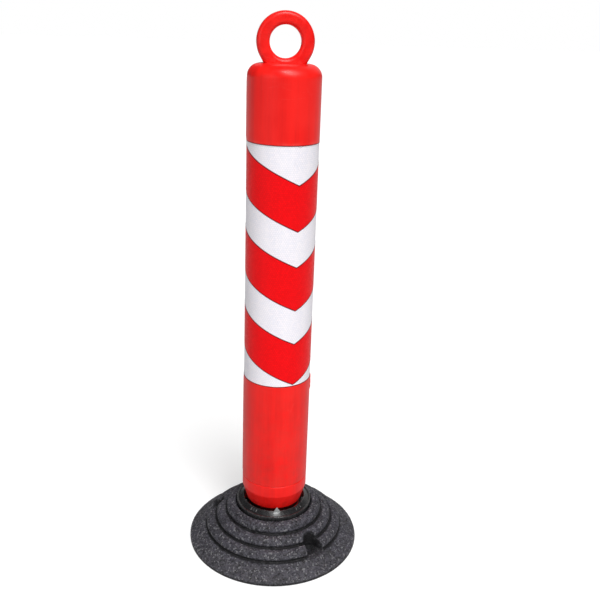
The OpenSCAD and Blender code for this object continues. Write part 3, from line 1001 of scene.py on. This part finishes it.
def tubeOutline(s):
    rOut = postRadius
    rIn = rOut - s["wall"]
    rBand = rOut - s["recess"]
    low, high = bandLow.z, bandHigh.z
    ceiling = topZ - s["topWall"]
    soft = s["soft"]
    stepIn, stepUp = s["endStep"]
    corners = [
        (rIn, jointZ, soft), (rOut - stepIn, jointZ, 0.3 * mm),
        (rOut, jointZ + stepUp, 1.2 * mm), (rOut, low - bandStep, soft),
        (rBand, low, 0.1 * mm), (rBand, high, 0.1 * mm), (rOut, high + bandStep, soft),
    ]
    outline = roundCorners(corners, 3)
    outer = s["shoulder"]
    outline += arcOf(Vector((rOut - outer, topZ - outer)), outer, 0, 90, 16)
    hole = s["stemHole"]
    mouth = ((hole + soft, topZ), (hole, topZ - soft), (hole, ceiling))
    outline += [Vector(point) for point in mouth]
    inner = outer - s["topWall"]
    outline += arcOf(Vector((rIn - inner, ceiling - inner)), inner, 90, 0, 12)
    seen, hidden = s["longest"]
    return splitLong(outline, lambda p: seen if p.x > rBand - mm else hidden)


def tubeShift(s):
    skin = postRadius - s["recess"] - 0.3 * mm
    low, high = bandLow.z, bandHigh.z
    clear, fade = s["clear"], s["fade"]
    shoulderZ = topZ - s["shoulder"]

    def shift(r, z, angle):
        if r < skin or z > shoulderZ:
            return 0.0
        outside = 1 - between(z, low - clear, high + clear, mm)
        spot = Vector((math.cos(angle) * 0.35, math.sin(angle) * 0.35, z * 7))
        moved = (noise.noise(spot * 2.2) + 0.5 * noise.noise(spot * 6.0)) * s["wave"] * outside
        for side in (0.0, math.pi):
            away = apart(angle, side) * r
            below = between(z, jointZ + 2 * clear, low - clear, fade)
            above = between(z, high + clear, shoulderZ, fade)
            ridge = math.exp(-((away / s["beadWidth"]) ** 2))
            moved += s["bead"] * ridge * max(below, above)
            if side == 0.0 and away < 2 * s["flashWidth"]:
                ragged = 0.8 + 0.35 * noise.noise(Vector((z * 160, 3.1, 0.7)))
                edge = 0.25 * mm
                sheet = between(away, -1.0, s["flashWidth"] + edge, edge)
                length = between(z, low - s["flashLength"], low - 0.8 * mm, fade)
                moved += s["flash"] * ragged * sheet * length
        return moved

    return shift


def makePostTube(s):
    # more columns close to the two moulding beads
    angles = set(evenAngles(s["segments"]))
    for side in (0.0, math.pi):
        for offset in s["closeAngles"]:
            turn = math.radians(offset)
            angles |= {(side - turn) % (2 * math.pi), (side + turn) % (2 * math.pi)}
    mesh = lathe("postTube", tubeOutline(s), sorted(angles), tubeShift(s))
    addPiece("postTube", mesh, "post_red", "post", "post_tube")


makePostTube(tubeSettings)
print("post tube made")

# the post's foot: taper, spigot, plug and three bayonet lugs

footSettings = {
    "plugLength": 40.0 * mm,
    "plugGap": 0.05 * mm,
    "wall": 4.0 * mm,
    "taperTop": 144.0 * mm,
    "taperEnd": 111.0 * mm,
    "taperInset": 11.0 * mm,
    "roundEdge": 6.0 * mm,
    "neck": 96.0 * mm,
    "spigotInset": 15.0 * mm,
    "lugReach": 10.5 * mm,
    "lugLow": 88.0 * mm,
    "lugHigh": 96.0 * mm,
    "lugSpan": 30,
    "lugAngles": (-90, 30, 150),
    "jointGap": 0.1 * mm,
    "segments": 240,
}


def makePostFoot(s):
    rOut = postRadius
    rTaper = rOut - s["taperInset"]
    rSpigot = rOut - s["spigotInset"]
    rPlug = rOut - s["wall"] - s["plugGap"]
    wall = s["wall"]
    plugTop = jointZ + s["plugLength"]
    seamZ = jointZ - s["jointGap"]
    neck = s["neck"] + mm
    corners = [
        (rSpigot - wall, footLow.z, 0.8 * mm), (rSpigot, footLow.z, 1.2 * mm),
        (rSpigot, neck, 2.0 * mm), (rTaper - 1.5 * mm, s["taperEnd"] - 5 * mm, 1.0 * mm),
        (rTaper, s["taperEnd"], 1.5 * mm), (rOut, s["taperTop"] + 2.2 * mm, s["roundEdge"]),
        (rOut, jointZ - 1.2 * mm, 0.8 * mm), (rOut - 0.9 * mm, seamZ, 0.3 * mm),
        (rPlug, seamZ, 0.0), (rPlug, plugTop, 0.8 * mm), (rPlug - wall, plugTop, 0.5 * mm),
        (rPlug - wall, s["taperTop"] + 8 * mm, 2.0 * mm),
        (rTaper - wall, s["taperEnd"], 2.0 * mm), (rSpigot - wall, neck, 2.0 * mm),
    ]
    outline = splitLong(roundCorners(corners, 5), lambda p: 30.0 * mm)
    body = lathe("postFoot", outline, evenAngles(s["segments"]))
    lugs = [
        softSector(
            rSpigot - mm, rSpigot + s["lugReach"], s["lugLow"], s["lugHigh"],
            azimuth, s["lugSpan"], 0.8 * mm)
        for azimuth in s["lugAngles"]
    ]
    mesh = carve(body, lugs, "UNION")
    addPiece("postFoot", mesh, "foot_red", "post", "post_foot")


makePostFoot(footSettings)
print("post foot made")

# the lift ring, with its stem

ringSettings = {
    "radius": 57.5 * mm,
    "hole": 31.5 * mm,
    "thickness": 26.0 * mm,
    "rounding": 9.0 * mm,
    "seat": 41.5 * mm,
    "spare": 12.0 * mm,
    "lean": 30,
    "stem": 12.0 * mm,
    "stemOverlap": 4.0 * mm,
    "threadDepth": 1.0 * mm,
    "threadPitch": 3.0 * mm,
    "threadCrest": (1.2 * mm, 1.8 * mm),
    "threadStart": 1.5 * mm,
    "threadEnd": 7.0 * mm,
    "steps": 160,
}


def ringOutline(rIn, rOut, s):
    # rounded section between the hole and the outside, as distance from the middle and depth
    q = s["rounding"]
    high = s["thickness"] / 2 - q
    left, right = rIn + q, rOut - q
    points = []
    for r, depth, start in ((right, high, 0), (left, high, 90), (left, -high, 180), (right, -high, 270)):
        points += arcOf(Vector((r, depth)), q, start, start + 90, 8)
    return points


def ringReach(angle, s):
    # outer radius: a circle above, straight leaning sides below
    lean = math.radians(s["lean"])
    below = apart(angle, -math.pi / 2)
    tangent = math.pi / 2 - lean
    if below >= tangent:
        return s["radius"]
    side = s["radius"] / math.cos(tangent - below)
    floor = (s["seat"] + s["spare"]) / max(math.cos(below), 0.01)
    return min(side, floor)


def makeLiftRing(s):
    centre = ringHigh.z - s["radius"]
    bm = bmesh.new()
    columns = []
    for angle in evenAngles(s["steps"]):
        column = []
        for p in ringOutline(s["hole"], ringReach(angle, s), s):
            column.append(bm.verts.new((p.x * math.cos(angle), p.y, centre + p.x * math.sin(angle))))
        columns.append(column)
    joinColumns(bm, columns)
    everything = bm.verts[:] + bm.edges[:] + bm.faces[:]
    cut = bmesh.ops.bisect_plane(
        bm, geom=everything, plane_co=(0, 0, centre - s["seat"]), plane_no=(0, 0, 1),
        clear_inner=True)
    rim = [e for e in cut["geom_cut"] if isinstance(e, bmesh.types.BMEdge)]
    bmesh.ops.contextual_create(bm, geom=rim)
    bmesh.ops.recalc_face_normals(bm, faces=bm.faces)
    ring = meshOf(bm, "liftRing")
    stem = s["stem"]
    stemTop = centre - s["seat"] + s["stemOverlap"]
    crestLow, crestHigh = s["threadCrest"]
    outline = [(0.5 * mm, stemTop), (0.5 * mm, ringLow.z), (stem - 2 * mm, ringLow.z)]
    z = ringLow.z + s["threadStart"]
    while z < topZ - s["threadEnd"]:
        outline += [(stem - s["threadDepth"], z), (stem, z + crestLow), (stem, z + crestHigh)]
        z += s["threadPitch"]
    outline.append((stem, stemTop))
    screw = lathe("stem", [Vector(point) for point in outline], evenAngles(64))
    addPiece("liftRing", carve(ring, [screw], "UNION"), "ring_red", "post", "lift_ring")


makeLiftRing(ringSettings)
print("lift ring made")

# the lock collar, with its tabs and grip ribs

collarSettings = {
    "bearing": 76.0 * mm,
    "mouth": 72.0 * mm,
    "mouthHeight": 110.0 * mm,
    "tabRadius": 66.0 * mm,
    "tabLow": 97.0 * mm,
    "tabHigh": 103.0 * mm,
    "tabSpan": 40,
    "tabAngles": (-30, 90, 210),
    "snapDepth": 1.5 * mm,
    "snapHeight": 1.6 * mm,
    "wall": 3.5 * mm,
    "skirt": 11.0 * mm,
    "lip": 4.0 * mm,
    "lipHeight": 102.5 * mm,
    "lipDrop": 1.5 * mm,
    "ribAngles": (-137, -132, -127, -53, -48, -43, 85, 90, 95),
    "rib": (7.7 * mm, 2.2 * mm, 1.8 * mm),
    "pointerPlay": 0.1 * mm,
    "segments": 240,
}


def makeLockCollar(s):
    rOut = collarHigh.y
    low = collarLow.z
    cone = rOut - s["lip"]
    coneZ = s["lipHeight"] - s["lipDrop"]
    snapLow = low + 5 * mm
    snapHigh = snapLow + s["snapHeight"]
    bearing, mouth = s["bearing"], s["mouth"]
    snap = bearing + s["snapDepth"]
    skirtIn, skirtOut = bearing + s["wall"], rOut - s["wall"]
    skirtTop = low + s["skirt"]
    corners = [
        (bearing, low, 0.5 * mm), (bearing, snapLow, 0.1 * mm), (snap, snapLow, 0.1 * mm),
        (snap, snapHigh, 0.1 * mm), (bearing, snapHigh, 0.1 * mm),
        (bearing, s["tabLow"], 0.3 * mm), (mouth, s["tabLow"], 0.4 * mm),
        (mouth, s["mouthHeight"], 1.0 * mm), (cone, coneZ, 0.7 * mm),
        (cone + 0.6 * mm, s["lipHeight"], 0.5 * mm),
        (rOut, s["lipHeight"], 1.1 * mm), (rOut, low, 0.6 * mm),
        (skirtOut, low, 0.5 * mm), (skirtOut, skirtTop, 0.8 * mm),
        (skirtIn, skirtTop, 0.8 * mm), (skirtIn, low, 0.5 * mm),
    ]
    body = lathe("lockCollar", roundCorners(corners, 4), evenAngles(s["segments"]))
    parts = [
        softSector(
            s["tabRadius"], mouth + 2 * mm, s["tabLow"], s["tabHigh"],
            azimuth, s["tabSpan"], 0.6 * mm)
        for azimuth in s["tabAngles"]
    ]
    run = cone - mouth
    drop = s["mouthHeight"] - coneZ
    onCone = Matrix.Translation((mouth + run / 2, 0, s["mouthHeight"] - drop / 2))
    tilt = Matrix.Rotation(math.atan2(drop, run), 4, "Y")
    for azimuth in s["ribAngles"]:
        place = Matrix.Rotation(math.radians(azimuth), 4, "Z") @ onCone @ tilt
        parts.append(softBox(s["rib"], 0.5 * mm, place))
    joined = carve(body, parts, "UNION")
    pointerLow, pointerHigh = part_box("collar_pointer")
    size = pointerHigh - pointerLow + Vector((s["pointerPlay"], s["pointerPlay"], 0))
    slot = softBox(size, 0, Matrix.Translation((pointerLow + pointerHigh) / 2))
    mesh = carve(joined, [slot], "DIFFERENCE")
    addPiece("lockCollar", mesh, "collar_gloss", "collar", "lock_collar", sharp=32)


makeLockCollar(collarSettings)
print("lock collar made")

# the rubber base: the frame's solid, softened and given its crumbs

baseSettings = {
    "voxel": 1.3 * mm,
    "smoothing": 2,
    "lump": 0.45 * mm,
    "lumpScale": 210.0,
    "sag": 0.7 * mm,
    "sagScale": 14.0,
    "feet": ((113.0 * mm, 74.0 * mm), (137.25 * mm, 54.25 * mm), (161.5 * mm, 34.5 * mm)),
    "valleyDepth": 3.0 * mm,
    "valleyWidth": 3.6 * mm,
    "pockets": (-58, 51.5, 161),
    "pocketCentre": 141.0 * mm,
    "pocketRadius": 17.5 * mm,
    "pocketFloor": 30.0 * mm,
    "pocketFlare": 0.32,
    "pocketReach": 1.7,
    "pocketShade": 0.97,
    "pocketFade": 1.75,
    "litFrom": 32.0 * mm,
    "litOver": 12.0 * mm,
    "rimTop": 6.5 * mm,
    "rimFrom": 197.5 * mm,
    "rimShade": 0.75,
    "valleyShade": 0.9,
    "underside": 1.0 * mm,
}


def valleyAt(point, s):
    # 1 in the grooves between the ridges, 0 on the open rubber
    out = math.hypot(point.x, point.y)
    away = min(math.hypot(out - r, point.z - z) for r, z in s["feet"])
    return math.exp(-((away / s["valleyWidth"]) ** 2))


def pocketAt(point, s):
    # 1 deep inside an anchor pocket, where no light comes
    if point.z < s["pocketFloor"] - 3 * mm:
        return 0.0
    deepest = 0.0
    for azimuth in s["pockets"]:
        turn = math.radians(azimuth)
        along = point.x * math.cos(turn) + point.y * math.sin(turn) - s["pocketCentre"]
        across = -point.x * math.sin(turn) + point.y * math.cos(turn)
        away = math.hypot(min(along, 0.0), across)
        reach = s["pocketRadius"] + 0.8 * mm + max(0.0, along) * s["pocketFlare"]
        if away > reach or along > s["pocketReach"] * s["pocketRadius"]:
            continue
        shade = s["pocketShade"] - max(0.0, along) / (s["pocketFade"] * s["pocketRadius"])
        lit = max(0.0, (point.z - s["pocketFloor"] - s["litFrom"]) / s["litOver"])
        deepest = max(deepest, shade - lit)
    return deepest


def makeRubberBase(s):
    def addModifiers(holder):
        remesh = holder.modifiers.new("voxels", "REMESH")
        remesh.mode = "VOXEL"
        remesh.voxel_size = s["voxel"]
        soften = holder.modifiers.new("soften", "SMOOTH")
        soften.factor = 0.5
        soften.iterations = s["smoothing"]

    bm = bmesh.new()
    bm.from_mesh(nodes["rubber_base"].data)
    bmesh.ops.remove_doubles(bm, verts=bm.verts, dist=0.001 * mm)
    mesh = applied(meshOf(bm, "rubberBase"), addModifiers)
    low = cadBox[0][2]
    # the normals are copied first, because a moved vertex makes Blender work them all out again
    normals = [vertex.normal.copy() for vertex in mesh.vertices]
    # the valley attribute holds painted shade for the grooves, the anchor pockets and the rim's low outer
    # face
    shades = mesh.attributes.new("valley", "FLOAT", "POINT")
    for i, (vertex, normal) in enumerate(zip(mesh.vertices, normals)):
        if vertex.co.z < low + s["underside"]:
            continue
        valley = valleyAt(vertex.co, s)
        out = math.hypot(vertex.co.x, vertex.co.y)
        # the low outer face of the rim gets painted shade too
        onRim = vertex.co.z < s["rimTop"] and out > s["rimFrom"]
        rim = s["rimShade"] if onRim else 0.0
        shade = max(s["valleyShade"] * valley, pocketAt(vertex.co, s), rim, 0.0)
        shades.data[i].value = shade
        vertex.co -= normal * (valley * s["valleyDepth"])
        spot = vertex.co * s["lumpScale"]
        lump = (noise.noise(spot) + 0.6 * noise.noise(spot * 2.1)) * s["lump"]
        sag = noise.noise(vertex.co * s["sagScale"]) * s["sag"]
        vertex.co += normal * (lump + sag - 0.5 * s["lump"])
    addPiece("rubberBase", mesh, "crumb_rubber", "base", "rubber_base", sharp=80)


makeRubberBase(baseSettings)
print("rubber base made")

# the parts that keep their CAD shape get their finish, and those listed below a fine bevel

bevels = {
    "collar_pointer": 0.5 * mm,
    "clamp_plate": 0.4 * mm,
    "clamp_screws": 0.3 * mm,
    "ring_washer": 0.4 * mm,
    "ring_nut": 0.6 * mm,
    "socket_cup": 0.5 * mm,
    "snap_ring": 0.15 * mm,
}
for subpart in frame["record"]["subparts"]:
    node = nodes[subpart["node"]]
    mesh = node.data
    mesh.materials.clear()
    mesh.materials.append(materials[subpart["material_slot"]])
    mesh.shade_smooth()
    mesh.set_sharp_from_angle(angle=math.radians(35))
    if subpart["node"] in bevels:
        weld = node.modifiers.new("weld", "WELD")
        weld.merge_threshold = 0.002 * mm
        bevel = node.modifiers.new("edges", "BEVEL")
        bevel.width = bevels[subpart["node"]]
        bevel.segments = 2
        bevel.limit_method = "ANGLE"
        bevel.angle_limit = math.radians(50)
print("finishes given to the CAD parts")
